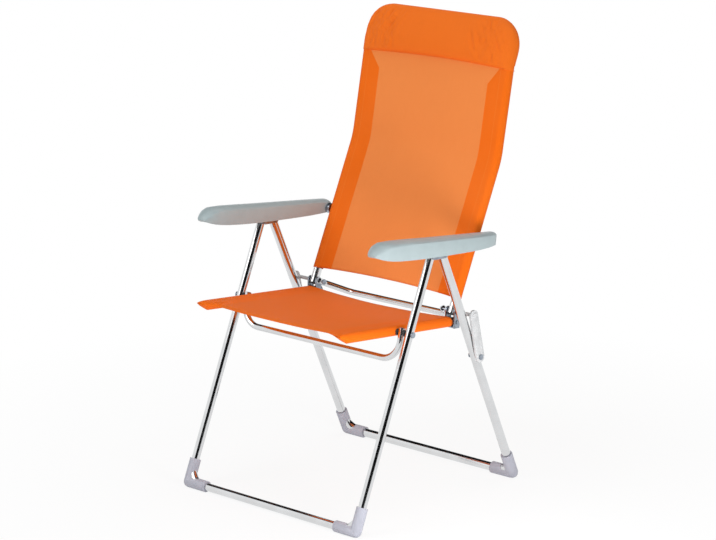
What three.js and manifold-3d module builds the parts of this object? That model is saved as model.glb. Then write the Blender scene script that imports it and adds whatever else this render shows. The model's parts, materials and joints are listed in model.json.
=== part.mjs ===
// A high-backed folding garden armchair, in millimetres. +Z is up, the chair faces -Y and +X is the sitter's left.
// The floor is z = 0, and the origin lies under the middle of the chair's box.
import * as THREE from "three";
import { mergeVertices } from "three/addons/utils/BufferGeometryUtils.js";
import Module from "manifold-3d";

const wasm = await Module();
wasm.setup();

// Driving sizes of the frame, as places in the side plane (y backwards, z up) and half widths across
const legPlane = 275; // middle of the front and rear leg tubes
const railPlane = 226; // middle of the seat rails and the back tubes
const footHeight = 12.5; // middle of the floor crossbars
const frontFootY = -279.3;
const rearFootY = 300.7;
const frontLeanShare = 0.4337; // how far a front leg leans back for each unit of height
const rearLeanShare = 0.4527; // how far a rear leg leans forward for each unit of height
const seatPivotHeight = 449;
const backPivotY = 125;
const backPivotRise = 26.069; // above the middle of the seat's rails
const armPivotY = 206;
const armPivotHeight = 622;
const rearLegPivotRise = 2; // above the armrests' pivot
const rackPinRise = 7; // above the armrests' pivot

// Tubes
const legRadius = 10;
const rearLegRadius = 11;
const railRadius = 11;
const barRadius = 8;
const tubeWall = 1.4;
const legBend = 45;
const clearance = 0.3;
const cutOverrun = 2;

// Seat
const railFrontY = -250;
const railRearY = 140;
const railDropShare = 0.098; // how far a rail falls for each unit of its way back
const seatSag = 9;
const seatFrontLip = 26; // how far the seat cloth stands past the rails' front ends
const seatRearY = 111;
const clothThickness = 1.5;
const panelThickness = 2.4;
const plugThickness = 3;
const plugSpigot = 14;
const spreaderDrop = 66; // below the seat's pivots
const spreaderSet = 15.01; // in front of the seat's pivots
const spreaderPlane = 251;
const spreaderBend = 48;
const crossbarSet = 59; // behind the back's pivots
const crossbarDrop = 31; // below the back's pivots
const crossbarHalf = 158; // half the way between its two rear bends
const crossbarFrontRun = 9; // how far its ends reach in front of the back's pivot
const crossbarTurnRun = 15; // how far behind the back's pivot its ends turn inwards
const crossbarBend = 30;
const crossbarEndBend = 14;

// Back
const backBendY = 288;
const backBendShare = 0.525; // share of the height from the pivot to the top at which the back bends
const backBendRadius = 190;
const backHeadY = 333.9;
const backHeadShare = 0.863; // share of that height above which the head part leans further back
const backHeadRadius = 150;
const backTopY = 366.5;
const backTopHeight = 1116;
const backCornerRadius = 62;
const backEndBelowPivot = 6.5;
const backClothLowRise = 32; // above the back's pivots
const headPadHeight = 112;
const headPadCrown = 13;
const headPadInset = 1.5;
const headPadCorner = 12;

// Fasteners and hinges
const boltRadius = 3.8;
const boltHeadRadius = 7;
const boltHeadThickness = 2.8;
const boltGap = 0.35;
const plateThickness = 3;
const rackPinRadius = 4;
const rackPinHalf = 20.4;
const bracketEarRadius = 10;
const bracketSleeveRadius = 13;
const bracketSleeveLength = 12;
const earInside = 11.6;
const earThickness = 3;
const hingeCheekRadius = 10;
const hingeCheekSpan = 21;
const webInset = 0.6;
const linkThickness = 6;
const linkLowRadius = 14;
const linkHighRadius = 13;
const linkGap = 0.8;
const linkStubRadius = 4.5;
const foldedPinOffset = 52; // how far behind the front legs the back pivot lies in the folded chair
const rivetRadius = 2.5;
const rivetHeadRadius = 4.5;
const rivetHeadThickness = 1.6;

// Feet
const shoeWall = 4;
const shoeCornerInset = 0.3; // how much the round corner stays inside the two arms
const shoeAlongFloor = 62;
const shoeAlongLeg = 58;

// Armrests: a top line and a low line in the side plane, as shares of the reach and as heights at the hinge
const armReach = 430; // from the rear hinge to the nose
const armNoseRise = 42;
const armBrowShare = 0.962;
const armBrowRise = 59;
const armCrestShare = 0.885;
const armCrestRise = 65.5;
const armMidShare = 0.52;
const armMidRise = 47;
const armTail = 12; // from the hinge to the rear end
const armTailRise = 18.5;
const armTailCut = 4; // how much further the rear end reaches above than below
const armNoseDepth = 5;
const armChinShare = 0.935;
const armChinRise = 27.5;
const armThroatShare = 0.81;
const armThroatRise = 17;
const armBellyShare = 0.595;
const armBellyRise = 6;
const armHeelShare = 0.2;
const armHeelDrop = 7.5;
const armTailDrop = 11;
const armHalfWidth = 24;
const armNoseHalfWidth = 12;
const armNoseShare = 0.1; // share of the length over which the nose widens
const armFlare = 2.5; // how much the outer side swells behind the nose
const armFlareShare = 0.12;
const armTailTaper = 12; // how much the outer side draws in at the rear end
const armTaperShare = 0.16; // share of the length over which it draws in
const armCrown = 11; // how far the top stands above its side edges
const armCrownPower = 2.4;
const armEdgeRound = 2;
const armWall = 2.6;
const armEndRound = 3;
const armLugLength = 48;
const armLugRadius = 6;
const armBushRadius = 13;
const rackInside = 18.5;
const rackThickness = 2.6;
const rackDepth = 19;
const rackPinGap = 4.8;
const rackScallop = 7;
const rackScallopDrop = 0;
const rackEnd = 14;
const reclineStep = 6; // degrees between two places of the back
const reclinePlaces = 7;

// Rounding of the meshes
const tubeSides = 16;
const ballSides = 16;
const barSides = 12;
const boltSides = 12;
const headSides = 16;
const roundSides = 12;
const arcSteps = 8;
const bendSteps = 5;
const boreSides = 8;

// Materials
const metal = (color, roughness) => new THREE.MeshStandardMaterial({ color, roughness, metalness: 1 });
const plastic = (color, roughness) => new THREE.MeshStandardMaterial({ color, roughness, metalness: 0 });
const aluminium = metal("#d2d3d3", 0.2);
const zinc = metal("#a9b2bd", 0.35);
const greyPlastic = plastic("#a3a9ae", 0.5);
const shoePlastic = plastic("#a9aab5", 0.55);
const darkPlastic = plastic("#3b3d42", 0.6);
const linkPlastic = plastic("#c9cacb", 0.45);
const orangeCloth = plastic("#ee6a1a", 0.85);

// Solids and meshes
function solidOf(geometry) {
  const bare = geometry.clone();
  bare.deleteAttribute("normal");
  bare.deleteAttribute("uv");
  const merged = mergeVertices(bare, 1e-4);
  return new wasm.Manifold(
    new wasm.Mesh({
      numProp: 3,
      vertProperties: merged.attributes.position.array,
      triVerts: new Uint32Array(merged.index.array),
    }),
  );
}

function geometryOf(solid) {
  const mesh = solid.getMesh();
  const geometry = new THREE.BufferGeometry();
  geometry.setAttribute("position", new THREE.BufferAttribute(mesh.vertProperties, mesh.numProp));
  geometry.setIndex(new THREE.BufferAttribute(mesh.triVerts, 1));
  geometry.computeVertexNormals();
  return geometry;
}

function join(...geometries) {
  const solids = geometries.map(solidOf);
  return geometryOf(solids.reduce((sum, next) => sum.add(next)));
}

function cut(geometry, ...tools) {
  return geometryOf(tools.reduce((rest, tool) => rest.subtract(solidOf(tool)), solidOf(geometry)));
}

function common(first, second) {
  return geometryOf(solidOf(first).intersect(solidOf(second)));
}

// The side plane: a place is a Vector2 of (y, z)
const side = (y, z) => new THREE.Vector2(y, z);
const along = (from, to) => to.clone().sub(from).normalize();
const at = (x, place) => new THREE.Vector3(x, place.x, place.y);
const sideToSpace = new THREE.Matrix4().makeBasis(
  new THREE.Vector3(0, 1, 0),
  new THREE.Vector3(0, 0, 1),
  new THREE.Vector3(1, 0, 0),
);

// A flat piece: an outline in the side plane, from one x to another
function plate(outline, fromX, toX) {
  const geometry = new THREE.ExtrudeGeometry(outline, {
    depth: toX - fromX,
    bevelEnabled: false,
    curveSegments: arcSteps,
  });
  geometry.applyMatrix4(sideToSpace);
  geometry.translate(fromX, 0, 0);
  return geometry;
}

// A round piece along X through a place of the side plane
function roundAlongX(radius, fromX, toX, place, sides = boltSides) {
  const geometry = new THREE.CylinderGeometry(radius, radius, toX - fromX, sides);
  geometry.rotateZ(Math.PI / 2);
  geometry.translate((fromX + toX) / 2, place.x, place.y);
  return geometry;
}

// A pin with a flat round head at one end or at both
function pin(radius, headRadius, headThickness, fromX, toX, place, bothHeads) {
  const shank = roundAlongX(radius, fromX, toX, place);
  const outer = roundAlongX(headRadius, toX - headThickness, toX, place, headSides);
  if (!bothHeads) return join(shank, outer);
  return join(shank, outer, roundAlongX(headRadius, fromX, fromX + headThickness, place));
}

// The outline round two circles, as on a link or an ear
function linkOutline(low, lowRadius, high, highRadius) {
  const way = high.clone().sub(low);
  const lean = Math.acos((lowRadius - highRadius) / way.length());
  const turn = Math.atan2(way.y, way.x);
  const outline = new THREE.Shape();
  outline.absarc(high.x, high.y, highRadius, turn - lean, turn + lean, false);
  outline.absarc(low.x, low.y, lowRadius, turn + lean, turn - lean + Math.PI * 2, false);
  outline.closePath();
  return outline;
}

// A path of straight runs with round bends, whose steps lie only where the shape needs them
class BentPath extends THREE.Curve {
  constructor(corners, bends) {
    super();
    this.stations = [corners[0]];
    corners.slice(1, -1).forEach((corner, i) => this.addBend(corners[i], corner, corners[i + 2], bends[i]));
    this.stations.push(corners[corners.length - 1]);
  }

  addBend(before, corner, after, radius) {
    const inward = before.clone().sub(corner).normalize();
    const outward = after.clone().sub(corner).normalize();
    const half = inward.angleTo(outward) / 2;
    const middle = inward.clone().add(outward).normalize();
    const centre = corner.clone().addScaledVector(middle, radius / Math.sin(half));
    const start = corner.clone().addScaledVector(inward, radius / Math.tan(half)).sub(centre);
    const axis = start.clone().cross(corner.clone().sub(centre)).normalize();
    const sweep = Math.PI - half * 2;
    for (let i = 0; i <= bendSteps; i++) {
      const arm = start.clone().applyAxisAngle(axis, (sweep * i) / bendSteps);
      this.stations.push(centre.clone().add(arm));
    }
  }

  getPoint(t) {
    const last = this.stations.length - 1;
    const place = Math.min(Math.max(t, 0), 1) * last;
    const first = Math.min(Math.floor(place), last - 1);
    return this.stations[first].clone().lerp(this.stations[first + 1], place - first);
  }

  getTangent(t) {
    const last = this.stations.length - 1;
    const index = Math.round(t * last);
    const before = this.stations[Math.max(index - 1, 0)];
    const here = this.stations[index];
    const after = this.stations[Math.min(index + 1, last)];
    const way = new THREE.Vector3();
    if (index > 0) way.add(here.clone().sub(before).normalize());
    if (index < last) way.add(after.clone().sub(here).normalize());
    return way.normalize();
  }

  getUtoTmapping(u) {
    return u;
  }
}

function ring(radius, sides) {
  const points = [];
  for (let i = 0; i < sides; i++) {
    const angle = ((i + 0.5) / sides) * Math.PI * 2;
    points.push(new THREE.Vector2(radius * Math.cos(angle), radius * Math.sin(angle)));
  }
  return points;
}

// A rod along a path, or a tube where it has a bore
function sweep(path, radius, bore, sides = tubeSides) {
  const section = new THREE.Shape(ring(radius, sides));
  if (bore > 0) section.holes.push(new THREE.Path(ring(bore, boreSides).reverse()));
  return new THREE.ExtrudeGeometry(section, {
    steps: path.stations.length - 1,
    extrudePath: path,
    bevelEnabled: false,
  });
}

// Lines of the side view, and the hinges that follow from them
const frontFoot = side(frontFootY, footHeight);
const rearFoot = side(rearFootY, footHeight);
const frontLegWay = side(frontLeanShare, 1).normalize();
const rearLegWay = side(-rearLeanShare, 1).normalize();
const onFrontLeg = (height) => side(frontFootY + frontLeanShare * (height - footHeight), height);
const onRearLeg = (height) => side(rearFootY - rearLeanShare * (height - footHeight), height);
const seatPivot = onFrontLeg(seatPivotHeight);
const armPivot = side(armPivotY, armPivotHeight);
const rackPin = onFrontLeg(armPivotHeight + rackPinRise);
const rearLegPivot = onRearLeg(armPivotHeight + rearLegPivotRise);
const onRail = (y) => side(y, seatPivotHeight - railDropShare * (y - seatPivot.x));
const backPivotHeight = onRail(backPivotY).y + backPivotRise;
const backPivot = side(backPivotY, backPivotHeight);

// Places measured along and behind a front leg, as the chair's frames lie when it is folded
const alongLeg = (place) => place.clone().sub(frontFoot).dot(frontLegWay);
const behindLeg = (place) => place.clone().sub(frontFoot).dot(side(frontLegWay.y, -frontLegWay.x));

// The link's lower pivot lies where the link has one length in the open and in the folded chair
function findLinkPivot() {
  const reach = backPivot.distanceTo(seatPivot);
  const foldedAlong = alongLeg(seatPivot) - Math.sqrt(reach ** 2 - foldedPinOffset ** 2);
  const gapAlong = alongLeg(rearLegPivot) - foldedAlong;
  const gapBehind = behindLeg(rearLegPivot) - foldedPinOffset;
  const open = backPivot.clone().sub(rearLegPivot);
  const downLeg = rearLegWay.clone().negate();
  const run = (gapAlong ** 2 + gapBehind ** 2 - open.lengthSq()) / (2 * (gapAlong - open.dot(downLeg)));
  return rearLegPivot.clone().addScaledVector(downLeg, run);
}
const linkPivot = findLinkPivot();

// Planes across the chair, from the middle outwards
const cheekInner = railPlane - railRadius - linkGap;
const cheekOuter = railPlane + railRadius + linkGap;
const linkInner = legPlane + legRadius + boltHeadThickness + clearance * 3;
const legInner = legPlane - legRadius;
const armInner = legPlane - armHalfWidth;

// The chair as nested groups, one for each moving body
const chair = new THREE.Group();
const bodies = {};
function body(name, parent = chair) {
  bodies[name] = new THREE.Group();
  parent.add(bodies[name]);
  return bodies[name];
}

function add(group, name, geometry, material) {
  const mesh = new THREE.Mesh(geometry, material);
  mesh.name = name;
  group.add(mesh);
  return mesh;
}

// A piece on the sitter's left and its mirror image on the right
function addPair(group, name, geometry, material) {
  add(group, `${name}_left`, geometry, material);
  add(group, `${name}_right`, geometry, material).scale.x = -1;
}

// Leg frames: a U of one bent tube, with its crossbar on the floor
function legFrame(foot, topEnd, radius, holes) {
  const corners = [at(legPlane, topEnd), at(legPlane, foot), at(-legPlane, foot), at(-legPlane, topEnd)];
  const tube = sweep(new BentPath(corners, [legBend, legBend]), radius, radius - tubeWall);
  const past = legPlane + radius + cutOverrun;
  const drills = holes.flatMap(([place, holeRadius]) => [
    roundAlongX(holeRadius, legPlane - radius - cutOverrun, past, place),
    roundAlongX(holeRadius, -past, radius + cutOverrun - legPlane, place),
  ]);
  return cut(tube, ...drills);
}

// Corner shoes: two arms that meet in a round corner outside a bend, and stand flat on the floor
function shoe(foot, legWay, radius) {
  const upLeg = foot.clone().addScaledVector(legWay, shoeAlongLeg);
  const corner = at(legPlane, foot);
  const floorArm = new BentPath([at(legPlane - shoeAlongFloor, foot), corner], []);
  const legArm = new BentPath([corner, at(legPlane, upLeg)], []);
  const ball = new THREE.SphereGeometry(radius + shoeWall - shoeCornerInset, ballSides, ballSides / 2);
  ball.translate(corner.x, corner.y, corner.z);
  const outer = join(sweep(floorArm, radius + shoeWall, 0), sweep(legArm, radius + shoeWall, 0), ball);
  const farUp = foot.clone().addScaledVector(legWay, shoeAlongLeg * 2);
  const tubeCorners = [at(legPlane - shoeAlongFloor * 2, foot), at(legPlane, foot), at(legPlane, farUp)];
  const bore = sweep(new BentPath(tubeCorners, [legBend]), radius + clearance, 0);
  const below = new THREE.BoxGeometry(legPlane * 2, legPlane, footHeight * 2);
  below.translate(legPlane, foot.x, -footHeight);
  return cut(outer, bore, below);
}

// The bracket that joins a front leg's top to a rear leg's top, under the armrest
function legBracket() {
  const sleeveLow = rackPin.clone().addScaledVector(frontLegWay, -bracketSleeveLength);
  const sleeveHigh = rackPin.clone().addScaledVector(frontLegWay, rackPinRadius * 2);
  const sleevePath = new BentPath([at(legPlane, sleeveLow), at(legPlane, sleeveHigh)], []);
  const outline = linkOutline(rackPin, bracketSleeveRadius, rearLegPivot, bracketEarRadius);
  const block = join(
    sweep(sleevePath, bracketSleeveRadius, 0),
    plate(outline, legPlane - earInside - earThickness, legPlane - earInside),
    plate(outline, legPlane + earInside, legPlane + earInside + earThickness),
  );
  const boreLow = sleeveLow.clone().addScaledVector(frontLegWay, -cutOverrun);
  const boreHigh = sleeveHigh.clone().addScaledVector(frontLegWay, cutOverrun);
  const bore = sweep(new BentPath([at(legPlane, boreLow), at(legPlane, boreHigh)], []), legRadius + clearance, 0);
  const left = legPlane - earInside - earThickness - cutOverrun;
  const right = legPlane + earInside + earThickness + cutOverrun;
  return cut(
    block,
    bore,
    roundAlongX(rackPinRadius + boltGap, left, right, rackPin),
    roundAlongX(boltRadius + boltGap, left, right, rearLegPivot),
  );
}

const front = body("front_legs");
const frontTop = rackPin.clone().addScaledVector(frontLegWay, rackPinRadius * 1.5);
add(
  front,
  "front_leg_frame",
  legFrame(frontFoot, frontTop, legRadius, [
    [seatPivot, boltRadius + boltGap],
    [rackPin, rackPinRadius + boltGap],
  ]),
  aluminium,
);
addPair(front, "front_foot", shoe(frontFoot, frontLegWay, legRadius), shoePlastic);
addPair(front, "leg_bracket", legBracket(), zinc);
addPair(
  front,
  "rack_pin",
  roundAlongX(rackPinRadius, legPlane - rackPinHalf, legPlane + rackPinHalf, rackPin),
  zinc,
);
addPair(
  front,
  "seat_pivot_bolt",
  pin(
    boltRadius,
    boltHeadRadius,
    boltHeadThickness,
    railPlane - railRadius - clearance - boltHeadThickness,
    legPlane + legRadius + clearance + boltHeadThickness,
    seatPivot,
    true,
  ),
  zinc,
);

// Spacers fill the way from the rail to the leg, on both sides of the spreader's end
function spacer(fromX, toX) {
  const disc = roundAlongX(barRadius, fromX + clearance, toX - clearance, seatPivot);
  return cut(disc, roundAlongX(boltRadius + boltGap, fromX - cutOverrun, toX + cutOverrun, seatPivot));
}
addPair(front, "seat_spacer_outer", spacer(spreaderPlane + barRadius, legInner), darkPlastic);
addPair(front, "seat_spacer_inner", spacer(railPlane + railRadius, spreaderPlane - barRadius), darkPlastic);

const rear = body("rear_legs", front);
const rearTop = rearLegPivot.clone().addScaledVector(rearLegWay, bracketEarRadius);
add(
  rear,
  "rear_leg_frame",
  legFrame(rearFoot, rearTop, rearLegRadius, [
    [rearLegPivot, boltRadius + boltGap],
    [linkPivot, boltRadius + boltGap],
  ]),
  aluminium,
);
addPair(rear, "rear_foot", shoe(rearFoot, rearLegWay, rearLegRadius), shoePlastic);
const earOutside = earInside + earThickness + clearance;
addPair(
  rear,
  "rear_leg_bolt",
  pin(
    boltRadius,
    boltHeadRadius,
    rivetHeadThickness,
    legPlane - earOutside - rivetHeadThickness,
    legPlane + earOutside + rivetHeadThickness,
    rearLegPivot,
    true,
  ),
  zinc,
);
addPair(
  rear,
  "link_bolt",
  pin(
    boltRadius,
    boltHeadRadius,
    boltHeadThickness,
    legPlane - rearLegRadius - clearance - boltHeadThickness,
    linkInner + linkThickness + clearance + boltHeadThickness,
    linkPivot,
    true,
  ),
  zinc,
);

// Links hold the seat's rear end on the rear legs. Each has a round stub that reaches in to the back's hinge.
function link() {
  const blade = plate(
    linkOutline(linkPivot, linkLowRadius, backPivot, linkHighRadius),
    linkInner,
    linkInner + linkThickness,
  );
  const stubFrom = cheekOuter + plateThickness + boltHeadThickness + clearance * 2;
  const stub = roundAlongX(linkStubRadius, stubFrom, linkInner + linkThickness + boltHeadThickness, backPivot);
  const head = roundAlongX(
    boltHeadRadius,
    linkInner + linkThickness / 2,
    linkInner + linkThickness + boltHeadThickness,
    backPivot,
  );
  const bossFrom = legPlane + rearLegRadius + clearance;
  const boss = roundAlongX(boltHeadRadius, bossFrom, linkInner + linkThickness / 2, linkPivot);
  const hole = roundAlongX(
    boltRadius + boltGap,
    bossFrom - cutOverrun,
    linkInner + linkThickness + cutOverrun,
    linkPivot,
  );
  return cut(join(blade, stub, head, boss), hole);
}
const links = body("links", rear);
addPair(links, "side_link", link(), linkPlastic);

// Seat
const seat = body("seat", front);
const railWay = along(onRail(railFrontY), onRail(railRearY));
const railNormal = side(-railWay.y, railWay.x);
const rivetPlace = onRail(backPivotY);

function rail() {
  const path = new BentPath([at(railPlane, onRail(railFrontY)), at(railPlane, onRail(railRearY))], []);
  const left = railPlane - railRadius - cutOverrun;
  const right = railPlane + railRadius + cutOverrun;
  return cut(
    sweep(path, railRadius, railRadius - tubeWall),
    roundAlongX(boltRadius + boltGap, left, right, seatPivot),
    roundAlongX(rivetRadius + boltGap, left, right, rivetPlace),
  );
}
addPair(seat, "seat_rail", rail(), aluminium);

// A plug closes a tube's end: a flat cap with a spigot in the bore
function plug(end, outWay, radius) {
  const capFrom = end.clone().addScaledVector(outWay, clearance);
  const capTo = capFrom.clone().addScaledVector(outWay, plugThickness);
  const spigotFrom = end.clone().addScaledVector(outWay, -plugSpigot);
  const cap = new BentPath([at(railPlane, capFrom), at(railPlane, capTo)], []);
  const spigot = new BentPath([at(railPlane, spigotFrom), at(railPlane, capTo)], []);
  const boreFlat = (radius - tubeWall) * Math.cos(Math.PI / boreSides);
  return join(sweep(cap, radius, 0), sweep(spigot, boreFlat - clearance, 0, barSides));
}
addPair(seat, "rail_front_plug", plug(onRail(railFrontY), railWay.clone().negate(), railRadius), darkPlastic);
addPair(seat, "rail_rear_plug", cut(
  plug(onRail(railRearY), railWay, railRadius),
  roundAlongX(rivetRadius + boltGap, railPlane - railRadius, railPlane + railRadius, rivetPlace),
), darkPlastic);

// The hinge bracket clasps the rail from below and carries the back's pivot above it
function hingeBracket() {
  const halfSpan = hingeCheekSpan / 2;
  const low = rivetPlace.clone().addScaledVector(railNormal, -railRadius - clearance);
  const floor = low.clone().addScaledVector(railNormal, -plateThickness - webInset);
  const rise = backPivot.clone().sub(rivetPlace).angle();
  const cheek = new THREE.Shape();
  cheek.moveTo(floor.x - railWay.x * halfSpan, floor.y - railWay.y * halfSpan);
  cheek.lineTo(floor.x + railWay.x * halfSpan, floor.y + railWay.y * halfSpan);
  cheek.absarc(backPivot.x, backPivot.y, hingeCheekRadius, rise - Math.PI / 2, rise + Math.PI / 2, false);
  cheek.closePath();
  const webHalf = halfSpan - webInset;
  const web = new THREE.Shape([
    low.clone().addScaledVector(railWay, -webHalf),
    low.clone().addScaledVector(railWay, -webHalf).addScaledVector(railNormal, -plateThickness),
    low.clone().addScaledVector(railWay, webHalf).addScaledVector(railNormal, -plateThickness),
    low.clone().addScaledVector(railWay, webHalf),
  ]);
  const left = cheekInner - plateThickness;
  const right = cheekOuter + plateThickness;
  return cut(
    join(
      plate(cheek, left, cheekInner),
      plate(cheek, cheekOuter, right),
      plate(web, left + webInset, right - webInset),
    ),
    roundAlongX(boltRadius + boltGap, left - cutOverrun, right + cutOverrun, backPivot),
    roundAlongX(rivetRadius + boltGap, left - cutOverrun, right + cutOverrun, rivetPlace),
  );
}
addPair(seat, "hinge_bracket", hingeBracket(), zinc);

addPair(
  seat,
  "hinge_rivet",
  pin(
    rivetRadius,
    rivetHeadRadius,
    rivetHeadThickness,
    cheekInner - plateThickness - clearance - rivetHeadThickness,
    cheekOuter + plateThickness + clearance + rivetHeadThickness,
    rivetPlace,
    true,
  ),
  zinc,
);

// The seat spreader hangs below the cloth from the two seat pivots
function seatSpreader() {
  const low = side(seatPivot.x - spreaderSet, seatPivotHeight - spreaderDrop);
  const high = seatPivot.clone().addScaledVector(along(low, seatPivot), barRadius + plateThickness);
  const corners = [
    at(spreaderPlane, high),
    at(spreaderPlane, low),
    at(-spreaderPlane, low),
    at(-spreaderPlane, high),
  ];
  const bar = sweep(new BentPath(corners, [spreaderBend, spreaderBend]), barRadius, barRadius - tubeWall, barSides);
  const half = barRadius + cutOverrun;
  return cut(
    bar,
    roundAlongX(boltRadius + boltGap, spreaderPlane - half, spreaderPlane + half, seatPivot),
    roundAlongX(boltRadius + boltGap, -spreaderPlane - half, half - spreaderPlane, seatPivot),
  );
}
add(seat, "seat_spreader", seatSpreader(), aluminium);

// Cloth: a panel between two tubes, whose side hems are sleeves round them
const sleeveBore = (railRadius + clearance) / Math.cos(Math.PI / barSides);
const sleeveRadius = sleeveBore + clothThickness;
const panelFront = sleeveRadius - clothThickness / 2;

function seatSling() {
  const from = onRail(railFrontY - seatFrontLip);
  const to = onRail(seatRearY);
  const length = from.distanceTo(to);
  const sag = (share) => -seatSag * (1 - share ** 2);
  const top = [];
  const bottom = [];
  for (let i = 0; i <= roundSides; i++) {
    const share = (i / roundSides) * 2 - 1;
    const x = share * railPlane;
    top.push(new THREE.Vector2(x, panelFront + sag(share)));
    bottom.unshift(new THREE.Vector2(x, panelFront - panelThickness + sag(share)));
  }
  const panel = new THREE.ExtrudeGeometry(new THREE.Shape([...top, ...bottom].reverse()), {
    depth: length,
    bevelEnabled: false,
  });
  panel.applyMatrix4(
    new THREE.Matrix4().makeBasis(new THREE.Vector3(-1, 0, 0), at(0, railNormal), at(0, railWay)),
  );
  panel.translate(0, from.x, from.y);
  const past = onRail(railFrontY - seatFrontLip - cutOverrun);
  const beyond = onRail(seatRearY + cutOverrun);
  const sleeve = (x) => sweep(new BentPath([at(x, from), at(x, to)], []), sleeveRadius, 0, barSides);
  const bore = (x) => sweep(new BentPath([at(x, past), at(x, beyond)], []), sleeveBore, 0, barSides);
  const window = barRadius + clearance;
  const opening = (fromX, toX) => roundAlongX(window, fromX, toX, seatPivot);
  const reach = railPlane + sleeveRadius + cutOverrun;
  return cut(
    join(panel, sleeve(railPlane), sleeve(-railPlane)),
    bore(railPlane),
    bore(-railPlane),
    opening(railPlane - sleeveRadius - cutOverrun, reach),
    opening(-reach, sleeveRadius + cutOverrun - railPlane),
  );
}
add(seat, "seat_sling", seatSling(), orangeCloth);

// Back: its two pivot bolts carry the ends of the rear crossbar, which is bowed back clear of the cloth
const hingeBolts = body("back_hinge_bolts", seat);
const crossbarPlane = cheekInner - plateThickness - clearance - barRadius;
const crossbarRear = side(backPivotY + crossbarSet, backPivotHeight - crossbarDrop);
const crossbarWay = along(backPivot, crossbarRear);
function rearCrossbar() {
  const front = backPivot.clone().addScaledVector(crossbarWay, -crossbarFrontRun);
  const turn = backPivot.clone().addScaledVector(crossbarWay, crossbarTurnRun);
  const corners = [
    at(crossbarPlane, front),
    at(crossbarPlane, turn),
    at(crossbarHalf, crossbarRear),
    at(-crossbarHalf, crossbarRear),
    at(-crossbarPlane, turn),
    at(-crossbarPlane, front),
  ];
  const bends = [crossbarEndBend, crossbarBend, crossbarBend, crossbarEndBend];
  const bar = sweep(new BentPath(corners, bends), barRadius, barRadius - tubeWall, barSides);
  const half = barRadius + cutOverrun;
  return cut(
    bar,
    roundAlongX(boltRadius + boltGap, crossbarPlane - half, crossbarPlane + half, backPivot),
    roundAlongX(boltRadius + boltGap, -crossbarPlane - half, half - crossbarPlane, backPivot),
  );
}
add(hingeBolts, "rear_crossbar", rearCrossbar(), aluminium);
addPair(
  hingeBolts,
  "back_pivot_bolt",
  pin(
    boltRadius,
    boltHeadRadius,
    boltHeadThickness,
    crossbarPlane - barRadius - clearance - boltHeadThickness,
    cheekOuter + plateThickness + clearance + boltHeadThickness,
    backPivot,
    true,
  ),
  zinc,
);

const back = body("back", hingeBolts);
const backBend = side(backBendY, backPivotHeight + (backTopHeight - backPivotHeight) * backBendShare);
const backHead = side(backHeadY, backPivotHeight + (backTopHeight - backPivotHeight) * backHeadShare);
const backTop = side(backTopY, backTopHeight);
const backLowWay = along(backPivot, backBend);
const backEnd = backPivot.clone().addScaledVector(backLowWay, -backEndBelowPivot);

function backPath(end) {
  const corners = [
    at(railPlane, end),
    at(railPlane, backBend),
    at(railPlane, backHead),
    at(railPlane, backTop),
    at(-railPlane, backTop),
    at(-railPlane, backHead),
    at(-railPlane, backBend),
    at(-railPlane, end),
  ];
  const bends = [backBendRadius, backHeadRadius, backCornerRadius];
  return new BentPath(corners, [...bends, ...bends.slice().reverse()]);
}

function backFrame() {
  const holes = [backPivot, armPivot].flatMap((place) => [
    roundAlongX(boltRadius + boltGap, railPlane - railRadius - cutOverrun, railPlane + railRadius + cutOverrun, place),
    roundAlongX(boltRadius + boltGap, -railPlane - railRadius - cutOverrun, railRadius + cutOverrun - railPlane, place),
  ]);
  return cut(sweep(backPath(backEnd), railRadius, railRadius - tubeWall), ...holes);
}
add(back, "back_frame", backFrame(), aluminium);

// The back cloth: a front panel along the tube's side view, and a hem sleeve all round
const backClothLow = backPivot.clone().addScaledVector(
  backLowWay,
  backClothLowRise / backLowWay.y,
);

function backSling() {
  const corners = [at(0, backClothLow), at(0, backBend), at(0, backHead), at(0, backTop)];
  const curve = new BentPath(corners, [backBendRadius, backHeadRadius]);
  const steps = curve.stations.length - 1;
  const offset = (i, distance) => {
    const way = curve.getTangent(i / steps);
    const here = curve.stations[i];
    return side(here.y - way.z * distance, here.z + way.y * distance);
  };
  const frontFace = [];
  const rearFace = [];
  for (let i = 0; i <= steps; i++) {
    frontFace.push(offset(i, panelFront));
    rearFace.unshift(offset(i, panelFront - panelThickness));
  }
  const reach = railPlane + sleeveRadius + cutOverrun;
  const farEnd = backPivot.clone().addScaledVector(backLowWay, backEndBelowPivot);
  const window = boltHeadRadius + clearance * 2;
  const gate = new THREE.Shape();
  const gateTop = backTop.distanceTo(backBend);
  gate.moveTo(-railPlane, -gateTop);
  gate.lineTo(railPlane, -gateTop);
  gate.absarc(railPlane - backCornerRadius, gateTop - backCornerRadius, backCornerRadius, 0, Math.PI / 2, false);
  gate.absarc(backCornerRadius - railPlane, gateTop - backCornerRadius, backCornerRadius, Math.PI / 2, Math.PI, false);
  gate.closePath();
  const frameOutline = new THREE.ExtrudeGeometry(gate, {
    depth: legPlane * 2,
    bevelEnabled: false,
    curveSegments: bendSteps,
  });
  const upWay = along(backBend, backTop);
  const outWay = side(-upWay.y, upWay.x);
  const place = new THREE.Matrix4().makeBasis(new THREE.Vector3(1, 0, 0), at(0, upWay), at(0, outWay));
  const base = backBend.clone().addScaledVector(outWay, -legPlane);
  place.setPosition(0, base.x, base.y);
  frameOutline.applyMatrix4(place);
  const panel = plate(new THREE.Shape([...frontFace, ...rearFace].reverse()), -railPlane, railPlane);
  return cut(
    join(common(panel, frameOutline), sweep(backPath(backClothLow), sleeveRadius, 0, barSides)),
    sweep(backPath(farEnd), sleeveBore, 0, barSides),
    roundAlongX(window, railPlane - sleeveRadius - cutOverrun, reach, armPivot),
    roundAlongX(window, -reach, sleeveRadius + cutOverrun - railPlane, armPivot),
  );
}
add(back, "back_sling", backSling(), orangeCloth);

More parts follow.
